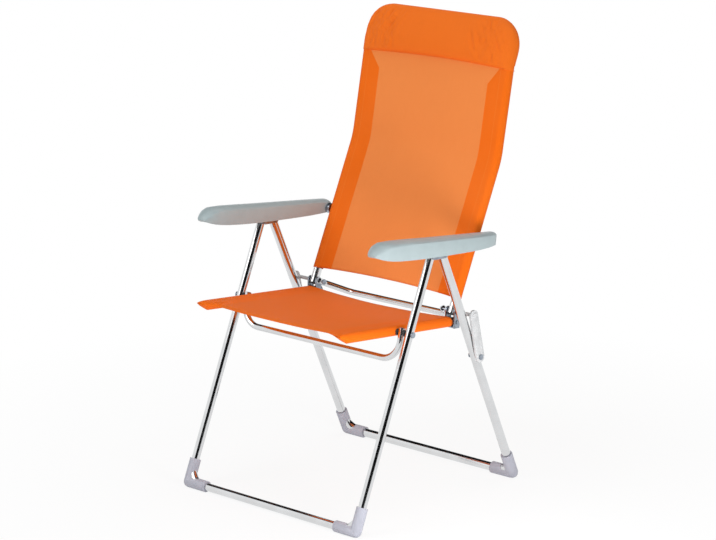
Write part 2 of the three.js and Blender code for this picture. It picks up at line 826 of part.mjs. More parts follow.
// Head pad: a cushion on the front of the cloth, full in the middle, that follows the tube's round corners
function headPad() {
  const upWay = along(backHead, backTop);
  const outWay = side(-upWay.y, upWay.x);
  const halfHeight = headPadHeight / 2;
  const halfWidth = railPlane + sleeveRadius - headPadInset;
  const middle = backTop.clone().addScaledVector(upWay, sleeveRadius - headPadInset - halfHeight);
  const place = new THREE.Matrix4().makeBasis(new THREE.Vector3(1, 0, 0), at(0, upWay), at(0, outWay));
  const base = middle.clone().addScaledVector(outWay, sleeveRadius + clearance);
  place.setPosition(0, base.x, base.y);
  const pillow = new THREE.SphereGeometry(1, roundSides * 2, roundSides);
  const position = pillow.attributes.position;
  const roundShare = 0.3; // share of a sphere's roundness that is left in the pillow's outline
  const squared = (value) => Math.sign(value) * Math.abs(value) ** roundShare;
  for (let i = 0; i < position.count; i++) {
    const across = squared(position.getX(i)) * halfWidth;
    const rise = squared(position.getY(i)) * halfHeight;
    const depth = Math.max(position.getZ(i), 0) ** (1 - roundShare) * headPadCrown;
    position.setXYZ(i, across, rise, depth);
  }
  const big = backCornerRadius + sleeveRadius - headPadInset;
  const small = headPadCorner;
  const outline = new THREE.Shape();
  outline.absarc(halfWidth - big, halfHeight - big, big, 0, Math.PI / 2, false);
  outline.absarc(big - halfWidth, halfHeight - big, big, Math.PI / 2, Math.PI, false);
  outline.absarc(small - halfWidth, small - halfHeight, small, Math.PI, Math.PI * 1.5, false);
  outline.absarc(halfWidth - small, small - halfHeight, small, Math.PI * 1.5, Math.PI * 2, false);
  outline.closePath();
  const edge = new THREE.ExtrudeGeometry(outline, {
    depth: headPadCrown * 2,
    bevelEnabled: false,
    curveSegments: bendSteps,
  });
  edge.translate(0, 0, -clearance);
  const pad = common(pillow, edge);
  pad.applyMatrix4(place);
  return pad;
}
add(back, "head_pad", headPad(), orangeCloth);

function backPlug() {
  const capTo = backEnd.clone().addScaledVector(backLowWay, -clearance - plugThickness);
  const capFrom = backEnd.clone().addScaledVector(backLowWay, -clearance);
  return sweep(new BentPath([at(railPlane, capTo), at(railPlane, capFrom)], []), railRadius, 0);
}
addPair(back, "back_end_cap", backPlug(), darkPlastic);

// Armrest hinges: a bush and a bolt turn on one axis, so that each motion has its own bearing
const bushBody = body("arm_bushes", back);
function armBush() {
  const fromX = railPlane + sleeveRadius + clearance;
  const toX = armInner - clearance;
  const disc = roundAlongX(armBushRadius, fromX, toX, armPivot, headSides);
  return cut(disc, roundAlongX(boltRadius + boltGap, fromX - cutOverrun, toX + cutOverrun, armPivot));
}
addPair(bushBody, "arm_bush", armBush(), zinc);

// The bolt ends in a flat lug that points forwards inside the armrest
const armBoltBody = body("arm_bolts", bushBody);
const rackWay = along(armPivot, rackPin);
function armBolt() {
  const headFrom = railPlane - railRadius - clearance - boltHeadThickness;
  const lugFrom = armInner + armWall + clearance;
  const lugEnd = armPivot.clone().addScaledVector(rackWay, armLugLength);
  return join(
    roundAlongX(boltHeadRadius, headFrom, headFrom + boltHeadThickness, armPivot, headSides),
    roundAlongX(boltRadius, headFrom, lugFrom + plateThickness, armPivot),
    plate(linkOutline(armPivot, armLugRadius, lugEnd, armLugRadius), lugFrom, lugFrom + plateThickness),
  );
}
addPair(armBoltBody, "arm_bolt", armBolt(), zinc);

// A solid through sections of equal length, closed by its first and its last section
function loft(sections) {
  const count = sections[0].length;
  const vertices = sections.flat().flatMap((point) => point.toArray());
  const faces = [];
  for (let i = 0; i + 1 < sections.length; i++) {
    for (let j = 0; j < count; j++) {
      const next = (j + 1) % count;
      const here = i * count;
      faces.push(here + j, here + count + next, here + next);
      faces.push(here + j, here + count + j, here + count + next);
    }
  }
  const last = (sections.length - 1) * count;
  for (let j = 1; j + 1 < count; j++) {
    faces.push(0, j, j + 1);
    faces.push(last, last + j + 1, last + j);
  }
  const geometry = new THREE.BufferGeometry();
  geometry.setAttribute("position", new THREE.Float32BufferAttribute(vertices, 3));
  geometry.setIndex(faces);
  return geometry;
}

// Armrest: a moulded shell, open below
const onArm = (share, rise) => new THREE.Vector2(armPivot.x - armReach * share, armPivot.y + rise);
const armTopLine = new THREE.SplineCurve([
  onArm(1, armNoseRise),
  onArm(armBrowShare, armBrowRise),
  onArm(armCrestShare, armCrestRise),
  onArm(armMidShare, armMidRise),
  onArm(-armTail / armReach, armTailRise),
]);
const armLowLine = new THREE.SplineCurve([
  onArm(1 - armNoseDepth / 2 / armReach, armNoseRise - armNoseDepth),
  onArm(armChinShare, armChinRise),
  onArm(armThroatShare, armThroatRise),
  onArm(armBellyShare, armBellyRise),
  onArm(armHeelShare, -armHeelDrop),
  onArm((armTailCut - armTail) / armReach, -armTailDrop),
]);

// The outer side of the armrest swells in front and draws in at the rear end, and the inner side is straight
function armOuterHalf(share) {
  const swell = Math.max(1 - ((share - armFlareShare) / armFlareShare) ** 2, 0) * armFlare;
  const taper = Math.max((share - 1 + armTaperShare) / armTaperShare, 0) ** 2 * armTailTaper;
  return armHalfWidth + swell - taper;
}

// One section of the armrest, drawn in by an inset and reaching past the low line by an overrun
function armSection(share, inset, overrun) {
  const top = armTopLine.getPointAt(share);
  const low = armLowLine.getPointAt(share);
  const up = along(low, top);
  const height = top.distanceTo(low);
  const peak = top.clone().addScaledVector(up, -inset);
  const foot = low.clone().addScaledVector(up, inset - overrun);
  const narrow = Math.max(1 - share / armNoseShare, 0) ** 2;
  const drawn = (half) => half - (half - armNoseHalfWidth) * narrow - inset;
  const inner = drawn(armHalfWidth);
  const outer = drawn(armOuterHalf(share));
  const crown = Math.min(armCrown * (1 - share / 2), (height - inset * 2) / 3);
  const round = Math.min(armEdgeRound, (height - inset * 2) / 6);
  const points = [at(legPlane - inner, foot), at(legPlane + outer, foot)];
  const onTop = (across, half) => {
    const place = peak.clone().addScaledVector(up, -crown * Math.abs(across) ** armCrownPower);
    points.push(at(legPlane + half * across, place));
  };
  const onSide = (half) => points.push(at(legPlane + half, peak.clone().addScaledVector(up, -crown - round)));
  onSide(outer);
  [0.96, 0.8, 0.55, 0.25].forEach((across) => onTop(across, outer));
  onTop(0, outer);
  [0.25, 0.55, 0.8, 0.96].forEach((across) => onTop(-across, inner));
  onSide(-inner);
  return points;
}

function armShell() {
  const length = armTopLine.getLength();
  const endShare = armEndRound / length;
  const shares = [0, endShare, endShare * 3, endShare * 6, endShare * 10, armNoseShare];
  for (let i = 2; i < roundSides; i++) shares.push(i / roundSides);
  shares.push((roundSides - 0.4) / roundSides, 1 - endShare, 1);
  const insetAt = (share) => {
    const toEnd = Math.min(share, 1 - share) / endShare;
    return toEnd < 1 ? (armEndRound / 2) * (1 - toEnd) ** 2 : 0;
  };
  const outer = loft(shares.map((share) => armSection(share, insetAt(share), 0)));
  const innerShares = [armWall * 3 / length, armNoseShare / 2];
  for (let i = 1; i < roundSides; i++) innerShares.push(i / roundSides);
  innerShares.push(1 - armWall / length);
  const inner = loft(innerShares.map((share) => armSection(share, armWall, armWall * 2 + cutOverrun)));
  const hole = roundAlongX(boltRadius + boltGap, armInner - cutOverrun, armInner + armWall * 2, armPivot);
  return cut(outer, inner, hole);
}

// Racks: two plates on the armrest's inner walls, scalloped below at each place the leg's pin can take
const rackUp = side(rackWay.y, -rackWay.x);
function rackReach(step) {
  const turn = -THREE.MathUtils.degToRad(reclineStep * step);
  const moved = armPivot.clone().rotateAround(backPivot, turn);
  return moved.distanceTo(rackPin);
}

function armRack(fromX) {
  const first = rackReach(0) - rackEnd;
  const last = rackReach(reclinePlaces - 1) + rackEnd;
  const corner = (reach, rise) => armPivot.clone().addScaledVector(rackWay, reach).addScaledVector(rackUp, rise);
  const outline = new THREE.Shape([
    corner(first, rackPinGap),
    corner(first, rackDepth),
    corner(last, rackDepth),
    corner(last, rackPinGap),
  ]);
  const scallops = [];
  for (let i = 0; i < reclinePlaces; i++) {
    const place = corner(rackReach(i), rackScallopDrop);
    scallops.push(roundAlongX(rackScallop, fromX - cutOverrun, fromX + rackThickness + cutOverrun, place));
  }
  return cut(plate(outline, fromX, fromX + rackThickness), ...scallops);
}

for (const [name, mirror] of [["left", 1], ["right", -1]]) {
  const arm = body(`armrest_${name}`, armBoltBody);
  add(arm, `armrest_${name}_shell`, armShell(), greyPlastic).scale.x = mirror;
  add(arm, `armrest_${name}_rack_outer`, armRack(legPlane + rackInside), zinc).scale.x = mirror;
  add(arm, `armrest_${name}_rack_inner`, armRack(legPlane - rackInside - rackThickness), zinc).scale.x = mirror;
}

// The origin goes under the middle of the chair's box
chair.updateMatrixWorld(true);
const box = new THREE.Box3().setFromObject(chair);
chair.position.y = -(box.min.y + box.max.y) / 2;
chair.userData.bodies = bodies;

export default chair;
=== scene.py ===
"""The looks of the folding garden armchair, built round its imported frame. Metres, +Z up, the chair faces -Y."""

import json
import math

import bmesh
import bpy
from mathutils import Matrix, Vector, noise


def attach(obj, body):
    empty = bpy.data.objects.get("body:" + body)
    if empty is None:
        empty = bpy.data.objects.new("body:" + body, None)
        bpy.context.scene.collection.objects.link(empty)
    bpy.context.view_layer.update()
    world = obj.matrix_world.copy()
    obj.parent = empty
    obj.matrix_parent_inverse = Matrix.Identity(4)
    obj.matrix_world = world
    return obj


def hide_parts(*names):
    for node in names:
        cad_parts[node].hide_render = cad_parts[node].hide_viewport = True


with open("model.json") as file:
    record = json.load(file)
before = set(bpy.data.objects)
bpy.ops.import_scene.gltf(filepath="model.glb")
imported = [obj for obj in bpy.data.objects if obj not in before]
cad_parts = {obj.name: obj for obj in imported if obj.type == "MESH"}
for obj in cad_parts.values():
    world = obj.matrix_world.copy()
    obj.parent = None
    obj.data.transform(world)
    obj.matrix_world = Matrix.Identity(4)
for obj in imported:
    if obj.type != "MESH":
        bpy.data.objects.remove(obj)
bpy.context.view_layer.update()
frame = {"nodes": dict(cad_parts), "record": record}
nodes = frame["nodes"]

# Sizes of the frame that the looks follow, in millimetres: x across, and (y, z) places in the source's side plane
MM = 0.001
SHIFT_Y = -43.309  # from the source's side plane to this frame
RAIL_X = 226.0  # middle of the seat rails and of the back's tubes
RAIL_R = 11.0
LEG_X = 275.0
FRONT_FOOT = (-279.3, 12.5)
FRONT_LEAN = 0.4337  # how far back a front leg leans for each unit of height
FRONT_LEG_R = 10.0
FRONT_PIN_HEIGHT = 629.0
FRONT_TUBE_PAST_PIN = 6.0
REAR_FOOT = (300.7, 12.5)
REAR_LEAN = -0.4527
REAR_LEG_R = 11.0
REAR_PIVOT_HEIGHT = 624.0
REAR_TUBE_PAST_PIVOT = 10.0
LEG_BEND = 45.0
SEAT_PIVOT = (-90.0, 449.0)
RAIL_DROP = 0.098  # how far a rail falls for each unit of its way back
SPREADER = (-105.0, 383.0)
SPREADER_X = 251.0
SPREADER_BEND = 48.0
SPREADER_PAST_PIVOT = 11.0
BAR_R = 8.0  # of the spreader and the crossbar
CROSSBAR = (184.0, 423.0)
CROSSBAR_END_X = 202.9
CROSSBAR_HALF = 158.0  # half the way between its two rear bends
CROSSBAR_RUN = (-9.0, 15.0)  # from the back's pivot to its ends and to where they turn inwards
CROSSBAR_BENDS = (14.0, 30.0)
BACK_PIVOT = (125.0, 454.0)
BACK_BEND = (288.0, 801.0)
BACK_BEND_R = 190.0
BACK_HEAD = (333.9, 1025.3)
BACK_HEAD_R = 150.0
BACK_TOP = (366.5, 1116.0)
BACK_CORNER_R = 62.0
BACK_END = -6.5  # from the back's pivot to the tube's low end


def place(x, y, z):
    """A point given in millimetres in the source's side plane, as a point of this frame."""
    return Vector((x * MM, (y + SHIFT_Y) * MM, z * MM))


# Camera, at the photograph's viewing angle
IMAGE_WIDTH = 716
FOCAL_PX = 2660.6
SENSOR_MM = 36.0
FAR_CLIP = 60.0
EYE = (4186.7, -4617.2, 2124.4)
AZIMUTH, ELEVATION, ROLL = math.radians(41.972), math.radians(14.254), math.radians(-0.195)

level = Vector((math.cos(AZIMUTH), math.sin(AZIMUTH), 0.0))
forward = Vector((-math.sin(AZIMUTH) * math.cos(ELEVATION), math.cos(AZIMUTH) * math.cos(ELEVATION),
                  -math.sin(ELEVATION)))
upward = level.cross(forward)
camera_right = level * math.cos(ROLL) + upward * math.sin(ROLL)
camera_up = upward * math.cos(ROLL) - level * math.sin(ROLL)
camera_data = bpy.data.cameras.new("camera")
camera_data.sensor_width = SENSOR_MM
camera_data.lens = SENSOR_MM * FOCAL_PX / IMAGE_WIDTH
camera_data.clip_end = FAR_CLIP
camera = bpy.data.objects.new("camera", camera_data)
bpy.context.scene.collection.objects.link(camera)
turn = Matrix((camera_right, camera_up, -forward)).transposed()
camera.matrix_world = Matrix.Translation(place(*EYE)) @ turn.to_4x4()
bpy.context.scene.camera = camera


# Materials. A colour is written as it is seen, and turned to linear light here.
def linear(rgb):
    return [c / 12.92 if c <= 0.04045 else ((c + 0.055) / 1.055) ** 2.4 for c in rgb] + [1.0]


def shade(rgb, share):
    """A colour made darker or brighter by a share of itself."""
    return linear([min(c * share, 1.0) for c in rgb])


class Nodes:
    """A small helper that adds nodes to one node tree and joins them."""

    def __init__(self, tree):
        self.tree = tree

    def put(self, socket, value):
        if isinstance(value, bpy.types.NodeSocket):
            self.tree.links.new(value, socket)
        else:
            socket.default_value = value

    def add(self, kind, inputs=None, **settings):
        node = self.tree.nodes.new(kind)
        for key, value in settings.items():
            setattr(node, key, value)
        for key, value in (inputs or {}).items():
            self.put(node.inputs[key], value)
        return node

    def math(self, operation, a, b=0.0):
        return self.add("ShaderNodeMath", {0: a, 1: b}, operation=operation).outputs[0]

    def plus(self, a, b):
        return self.math("ADD", a, b)

    def minus(self, a, b):
        return self.math("SUBTRACT", a, b)

    def times(self, a, b):
        return self.math("MULTIPLY", a, b)

    def most(self, a, b):
        return self.math("MAXIMUM", a, b)

    def size_of(self, a):
        return self.math("ABSOLUTE", a)

    def sine(self, a, wave):
        return self.math("SINE", self.times(a, wave))

    def mix(self, share, a, b):
        return self.add("ShaderNodeMix", {0: share, 6: a, 7: b}, data_type="RGBA").outputs[2]

    def noise(self, vector, scale, detail):
        inputs = {"Vector": vector, "Scale": scale, "Detail": detail, "Roughness": 0.5}
        return self.add("ShaderNodeTexNoise", inputs).outputs["Fac"]

    def ramp(self, value, low, high, to_low=0.0, to_high=1.0):
        inputs = {"Value": value, "From Min": low, "From Max": high, "To Min": to_low, "To Max": to_high}
        return self.add("ShaderNodeMapRange", inputs, clamp=True).outputs[0]

    def bump(self, height, distance, strength):
        return self.add("ShaderNodeBump", {"Height": height, "Distance": distance, "Strength": strength}).outputs[0]

    def where(self):
        return self.add("ShaderNodeTexCoord").outputs["Object"]

    def seen_directly(self):
        """1 for what the camera, a mirror or a clear piece sees, and 0 for the light that falls on the chair."""
        path = self.add("ShaderNodeLightPath")
        clear = self.most(path.outputs["Is Glossy Ray"], path.outputs["Is Transmission Ray"])
        return self.most(path.outputs["Is Camera Ray"], clear)


class Surface(Nodes):
    """A material with one Principled shader."""

    def __init__(self, name):
        self.material = bpy.data.materials.new(name)
        self.material.use_nodes = True
        super().__init__(self.material.node_tree)
        self.shader = self.tree.nodes["Principled BSDF"]
        self.output = self.tree.nodes["Material Output"]

    def set(self, **values):
        for key, value in values.items():
            self.put(self.shader.inputs[key.replace("_", " ")], value)


def polished_aluminium(name, tint, rough):
    n = Surface(name)
    where = n.where()
    cloudy = n.noise(where, scale=22.0, detail=4.0)
    fine = n.noise(where, scale=700.0, detail=2.0)
    n.set(Base_Color=n.mix(n.ramp(cloudy, 0.35, 0.7), shade(tint, 0.96), linear(tint)),
          Metallic=1.0,
          Roughness=n.plus(n.ramp(cloudy, 0.3, 0.75, rough * 0.8, rough * 1.3), n.times(fine, 0.03)),
          Normal=n.bump(fine, distance=0.000008, strength=0.2))
    return n.material


def zinc(name, dark, pale):
    n = Surface(name)
    where = n.where()
    grain = n.noise(where, scale=420.0, detail=3.0)
    patches = n.noise(where, scale=60.0, detail=3.0)
    n.set(Base_Color=n.mix(n.ramp(patches, 0.3, 0.7), linear(dark), linear(pale)),
          Metallic=1.0,
          Roughness=n.ramp(grain, 0.2, 0.8, 0.26, 0.42),
          Normal=n.bump(grain, distance=0.00004, strength=0.3))
    return n.material


def moulded(name, colour, rough, spread=0.03):
    """Injection-moulded plastic: a fine leather-like grain, slightly mottled by spread."""
    n = Surface(name)
    where = n.where()
    mottle = n.noise(where, scale=35.0, detail=3.0)
    voronoi = n.add("ShaderNodeTexVoronoi", {"Vector": where, "Scale": 1400.0}, feature="SMOOTH_F1")
    fine = n.noise(where, scale=2600.0, detail=2.0)
    low = linear([max(c - spread, 0) for c in colour])
    high = linear([min(c + spread * 0.6, 1) for c in colour])
    grain = n.plus(voronoi.outputs["Distance"], n.times(fine, 0.5))
    n.set(Base_Color=n.mix(n.ramp(mottle, 0.3, 0.7), low, high),
          Metallic=0.0,
          Roughness=n.ramp(mottle, 0.25, 0.8, rough - 0.04, rough + 0.06),
          Normal=n.bump(grain, distance=0.00005, strength=0.5))
    n.shader.inputs["Specular IOR Level"].default_value = 0.42
    return n.material


YARN = 1.25  # from one yarn to the next
STITCH_FROM_EDGE = 22.0
STITCH_HALF = 0.55
STITCH_LENGTH = 4.2
STITCH_COLOUR = (0.96, 0.55, 0.25)
HEM_WAVER = 1.2


def hem(n, where, across, up, band, edge, narrows):
    """Where the doubled side hem lies, and the line of stitches in it."""
    from_edge = n.minus(edge, n.size_of(across))
    waver = n.times(n.minus(n.noise(where, scale=14.0, detail=2.0), 0.5), HEM_WAVER)
    width = n.ramp(up, *narrows[:2], band, narrows[2]) if narrows else band
    inside = n.minus(n.plus(from_edge, waver), width)
    in_band = n.ramp(inside, -HEM_WAVER, HEM_WAVER, 1.0, 0.0)
    from_stitch = n.minus(n.size_of(n.minus(from_edge, STITCH_FROM_EDGE)), STITCH_HALF)
    on_line = n.ramp(from_stitch, 0.0, 0.4, 1.0, 0.0)
    thread = n.ramp(n.sine(up, 2 * math.pi / STITCH_LENGTH), -0.55, -0.25)
    return in_band, n.times(on_line, thread)


def mesh_cloth(name, dense, light, band=0.0, edge=0.0, narrows=None):
    """Woven mesh of coated yarns. UV is in millimetres across and along the cloth. band is the width of the side hems,
    of two layers, edge the half width of the whole, and narrows (from, to, width) where the hems draw in along it."""
    n = Surface(name)
    uv = n.add("ShaderNodeUVMap").outputs[0]
    across, up = n.add("ShaderNodeSeparateXYZ", {"Vector": uv}).outputs[:2]
    wave = 2 * math.pi / YARN
    yarns = n.plus(n.times(n.size_of(n.sine(across, wave)), 0.5), n.times(n.size_of(n.sine(up, wave)), 0.5))
    over = n.times(n.sine(across, wave / 2), n.sine(up, wave / 2))
    height = n.plus(yarns, n.times(over, 0.6))
    holes = n.ramp(yarns, 0.05, 0.35)
    where = n.where()
    along_yarns = n.add("ShaderNodeMapping", {"Vector": uv, "Scale": (0.9, 0.02, 1.0)}).outputs[0]
    streak = n.noise(along_yarns, scale=1.0, detail=3.0)
    cloud = n.noise(where, scale=9.0, detail=3.0)
    colour = linear(dense)
    if band:
        in_band, stitch = hem(n, where, across, up, band, edge, narrows)
        colour = n.mix(in_band, linear(light), colour)
    # Painted shade: the low gaps between the yarns are drawn darker, as if shade lay in them
    colour = n.mix(n.times(n.minus(1.0, holes), 0.35), colour, shade(dense, 0.80))
    colour = n.mix(n.ramp(streak, 0.3, 0.75, 0.0, 0.10), colour, shade(dense, 0.88))
    colour = n.mix(n.ramp(cloud, 0.35, 0.75, 0.0, 0.08), colour, shade(light, 1.06))
    if band:
        colour = n.mix(n.times(stitch, 0.45), colour, linear(STITCH_COLOUR))
        height = n.plus(n.plus(height, stitch), in_band)
    n.set(Base_Color=colour,
          Metallic=0.0,
          Roughness=n.ramp(streak, 0.2, 0.8, 0.52, 0.66),
          Normal=n.bump(height, distance=0.00022, strength=0.55))
    n.shader.inputs["Specular IOR Level"].default_value = 0.07
    n.shader.inputs["Sheen Weight"].default_value = 0.02
    n.shader.inputs["Sheen Roughness"].default_value = 0.5
    return n.material


ORANGE = (0.955, 0.435, 0.075)
PANEL_ORANGE = (0.955, 0.560, 0.290)
SEAT_ORANGE = (0.930, 0.445, 0.14)
PAD_ORANGE = (0.950, 0.455, 0.125)
PAD_PALE_ORANGE = (0.955, 0.47, 0.15)
mat_aluminium = polished_aluminium("polished_aluminium", (0.87, 0.875, 0.88), rough=0.11)
by_slot = {
    "aluminium": mat_aluminium,
    "zinc": zinc("zinc_plate", (0.55, 0.585, 0.63), (0.68, 0.71, 0.75)),
    "grey_plastic": moulded("armrest_plastic", (0.650, 0.705, 0.715), rough=0.36, spread=0.012),
    "shoe_plastic": moulded("shoe_plastic", (0.72, 0.725, 0.77), rough=0.48),
    "link_plastic": moulded("link_plastic", (0.80, 0.805, 0.81), rough=0.45),
    "dark_plastic": moulded("dark_plastic", (0.20, 0.205, 0.215), rough=0.5),
}

# The hard pieces keep their CAD solids, with soft edges
WELD_REACH = 0.02 * MM
BEVEL_WIDTH = 0.5 * MM
BEVEL_FROM = math.radians(42)
SHARP_FROM = math.radians(34)
slot_of = {piece["node"]: piece["material_slot"] for piece in frame["record"]["subparts"]}
for name, obj in nodes.items():
    slot = slot_of[name]
    if slot not in by_slot:
        continue
    obj.data.materials.clear()
    obj.data.materials.append(by_slot[slot])
    if "custom_normal" in obj.data.attributes:
        obj.data.attributes.remove(obj.data.attributes["custom_normal"])
    for polygon in obj.data.polygons:
        polygon.use_smooth = True
    weld = obj.modifiers.new("weld", "WELD")
    weld.merge_threshold = WELD_REACH
    if slot != "aluminium":
        bevel = obj.modifiers.new("bevel", "BEVEL")
        bevel.width = BEVEL_WIDTH
        bevel.segments = 2
        bevel.limit_method = "ANGLE"
        bevel.angle_limit = BEVEL_FROM
        bevel.harden_normals = False
    split = obj.modifiers.new("edges", "EDGE_SPLIT")
    split.split_angle = SHARP_FROM


# Meshes
def make(name, vertices, faces, material, uvs=None, smooth=True):
    mesh = bpy.data.meshes.new(name)
    mesh.from_pydata([tuple(v) for v in vertices], [], faces)
    if uvs is not None:
        layer = mesh.uv_layers.new(name="UVMap")
        for loop in mesh.loops:
            layer.data[loop.index].uv = uvs[loop.vertex_index]
    mesh.update()
    for polygon in mesh.polygons:
        polygon.use_smooth = smooth
    mesh.materials.append(material)
    obj = bpy.data.objects.new(name, mesh)
    bpy.context.scene.collection.objects.link(obj)
    return obj


def thicken(obj, thickness):
    solid = obj.modifiers.new("thickness", "SOLIDIFY")
    solid.thickness = thickness * MM
    solid.offset = 0.0


def grid_faces(rows, cols, closed_cols=False):
    faces = []
    last = cols if closed_cols else cols - 1
    for i in range(rows - 1):
        for j in range(last):
            k = (j + 1) % cols
            faces.append((i * cols + j, i * cols + k, (i + 1) * cols + k, (i + 1) * cols + j))
    return faces


def resample(points, steps):
    """Points at equal spacing along a line, and the length so far at each."""
    lengths = [0.0]
    for a, b in zip(points, points[1:]):
        lengths.append(lengths[-1] + math.dist(a, b))
    out = []
    for i in range(steps + 1):
        want = lengths[-1] * i / steps
        j = 0
        while j < len(lengths) - 2 and lengths[j + 1] < want:
            j += 1
        span = lengths[j + 1] - lengths[j] or 1.0
        t = (want - lengths[j]) / span
        out.append((tuple(p + (q - p) * t for p, q in zip(points[j], points[j + 1])), want))
    return out


def smooth_step(a, b, t):
    t = min(max((t - a) / (b - a), 0.0), 1.0)
    return t * t * (3 - 2 * t)


def crowned(share):
    """1 in the middle of the chair and 0 at a share of 1 out to its side."""
    return 1 - share ** 2


def waves(x, y, amplitude, across, along, seed, slant=0.0):
    """Soft irregular waves over a cloth. across and along say how close they follow, and slant how they lean."""
    return amplitude * noise.noise(Vector((x * across + y * slant, y * along, seed)))


# Smooth tubes in the place of the CAD's many-sided ones
TUBE_WALL = 1.4
TUBE_SIDES = 36
TUBE_SHARP_FROM = math.radians(40)
BORE_DEPTH = 14.0  # of the hollow that shows at a tube's end
BEND_STEPS = 12
BEND_MARGIN = 2.0  # of straight tube at each end of a bend, which keeps the shading of the straight clean


def bent(corners, radii, steps=BEND_STEPS):
    """A line in space through corners with round bends."""
    points = [Vector(corners[0])]
    for before, here, after, radius in zip(corners, corners[1:], corners[2:], radii):
        here = Vector(here)
        a = (Vector(before) - here).normalized()
        b = (Vector(after) - here).normalized()
        half = a.angle(b) / 2
        centre = here + (a + b).normalized() * (radius / math.sin(half))
        run = radius / math.tan(half)
        first = here + a * run - centre
        axis = first.cross(here - centre).normalized()
        points.append(here + a * (run + BEND_MARGIN))
        for k in range(steps + 1):
            points.append(centre + Matrix.Rotation((math.pi - 2 * half) * k / steps, 3, axis) @ first)
        points.append(here + b * (run + BEND_MARGIN))
    points.append(Vector(corners[-1]))
    return points


def tube(name, body, node, half_corners, half_radii, radius):
    """A smooth hollow tube that runs through corners (x, (y, z)) on the left and their mirror images on the right."""
    corners = half_corners + [(-x, yz) for x, yz in reversed(half_corners)]
    points = bent([(x, y, z) for x, (y, z) in corners], half_radii + half_radii[::-1])
    ways = []
    for i in range(len(points)):
        before = (points[i] - points[i - 1]).normalized() if i else Vector()
        after = (points[i + 1] - points[i]).normalized() if i < len(points) - 1 else Vector()
        ways.append((before + after).normalized())
    side_way = ways[0].orthogonal().normalized()
    rings = []
    for i, (point, way) in enumerate(zip(points, ways)):
        if i:
            side_way = ways[i - 1].rotation_difference(way) @ side_way
        rings.append((point, side_way, way.cross(side_way), radius))
    inner = radius - TUBE_WALL
    start, end = rings[0], rings[-1]
    rings.insert(0, (*start[:3], inner))
    rings.insert(0, (start[0] + ways[0] * BORE_DEPTH, *start[1:3], inner))
    rings.append((*end[:3], inner))
    rings.append((end[0] - ways[-1] * BORE_DEPTH, *end[1:3], inner))
    vertices = []
    for point, u, v, r in rings:
        for j in range(TUBE_SIDES):
            angle = 2 * math.pi * j / TUBE_SIDES
            vertices.append(place(*(point + u * (r * math.cos(angle)) + v * (r * math.sin(angle)))))
    faces = grid_faces(len(rings), TUBE_SIDES, closed_cols=True)
    faces.append(tuple(range(TUBE_SIDES - 1, -1, -1)))
    faces.append(tuple(range(len(vertices) - TUBE_SIDES, len(vertices))))
    obj = make(name, vertices, faces, mat_aluminium)
    mesh = bmesh.new()
    mesh.from_mesh(obj.data)
    bmesh.ops.recalc_face_normals(mesh, faces=mesh.faces)
    mesh.to_mesh(obj.data)
    mesh.free()
    split = obj.modifiers.new("edges", "EDGE_SPLIT")
    split.split_angle = TUBE_SHARP_FROM
    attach(obj, body)
    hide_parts(node)


def way_between(start, end):
    return (end[0] - start[0], end[1] - start[1])


def further(origin, way, run):
    """The place at a distance from the origin along a way."""
    way = Vector(way).normalized()
    return (origin[0] + way.x * run, origin[1] + way.y * run)


def leg_top(foot, lean, height, past):
    """The top end of a leg that runs a little past a place at a given height on it."""
    return further((foot[0] + lean * (height - foot[1]), height), (lean, 1), past)


front_top = leg_top(FRONT_FOOT, FRONT_LEAN, FRONT_PIN_HEIGHT, FRONT_TUBE_PAST_PIN)
rear_top = leg_top(REAR_FOOT, REAR_LEAN, REAR_PIVOT_HEIGHT, REAR_TUBE_PAST_PIVOT)
spreader_top = further(SEAT_PIVOT, way_between(SPREADER, SEAT_PIVOT), SPREADER_PAST_PIVOT)
crossbar_way = way_between(BACK_PIVOT, CROSSBAR)
crossbar_end, crossbar_turn = (further(BACK_PIVOT, crossbar_way, run) for run in CROSSBAR_RUN)
back_end = further(BACK_PIVOT, way_between(BACK_PIVOT, BACK_BEND), BACK_END)
tube("front_leg_tube", "front_legs", "front_leg_frame",
     [(LEG_X, front_top), (LEG_X, FRONT_FOOT)], [LEG_BEND], FRONT_LEG_R)
tube("rear_leg_tube", "rear_legs", "rear_leg_frame",
     [(LEG_X, rear_top), (LEG_X, REAR_FOOT)], [LEG_BEND], REAR_LEG_R)
tube("spreader_tube", "seat", "seat_spreader",
     [(SPREADER_X, spreader_top), (SPREADER_X, SPREADER)], [SPREADER_BEND], BAR_R)
tube("crossbar_tube", "back_hinge_bolts", "rear_crossbar",
     [(CROSSBAR_END_X, crossbar_end), (CROSSBAR_END_X, crossbar_turn), (CROSSBAR_HALF, CROSSBAR)],
     list(CROSSBAR_BENDS), BAR_R)
tube("back_tube", "back", "back_frame",
     [(RAIL_X, back_end), (RAIL_X, BACK_BEND), (RAIL_X, BACK_HEAD), (RAIL_X, BACK_TOP)],
     [BACK_BEND_R, BACK_HEAD_R, BACK_CORNER_R], RAIL_R)

# Slings: the cloth runs over the panel, round a tube and back under the panel, where its return is sewn on
CLOTH = 1.0
WRAP = RAIL_R + 0.95  # middle of the cloth round a tube
HEM_BAND = 59.0  # width of the doubled cloth that shows
CLOTH_EDGE = RAIL_X + 8
WRAP_STEPS = 26
WRAP_STEP_DEGREES = 9.6
PANEL_STEPS = 16
FLAP_START = 26.0  # how far inside the tube the return meets the panel
FLAP = 52.0  # how far inside the tube the return ends
FLAP_GAP = 1.5
RETURN_STEPS = 5
FLAP_STEPS = 6
HALF_STEPS = 58
CLOSED_OPENING = 0.02  # share of the sleeve's height that is left where it is closed
TIP_DROP = 5.0
TIP_DRAW = 0.5  # share of the sleeve's overhang that draws in where it closes


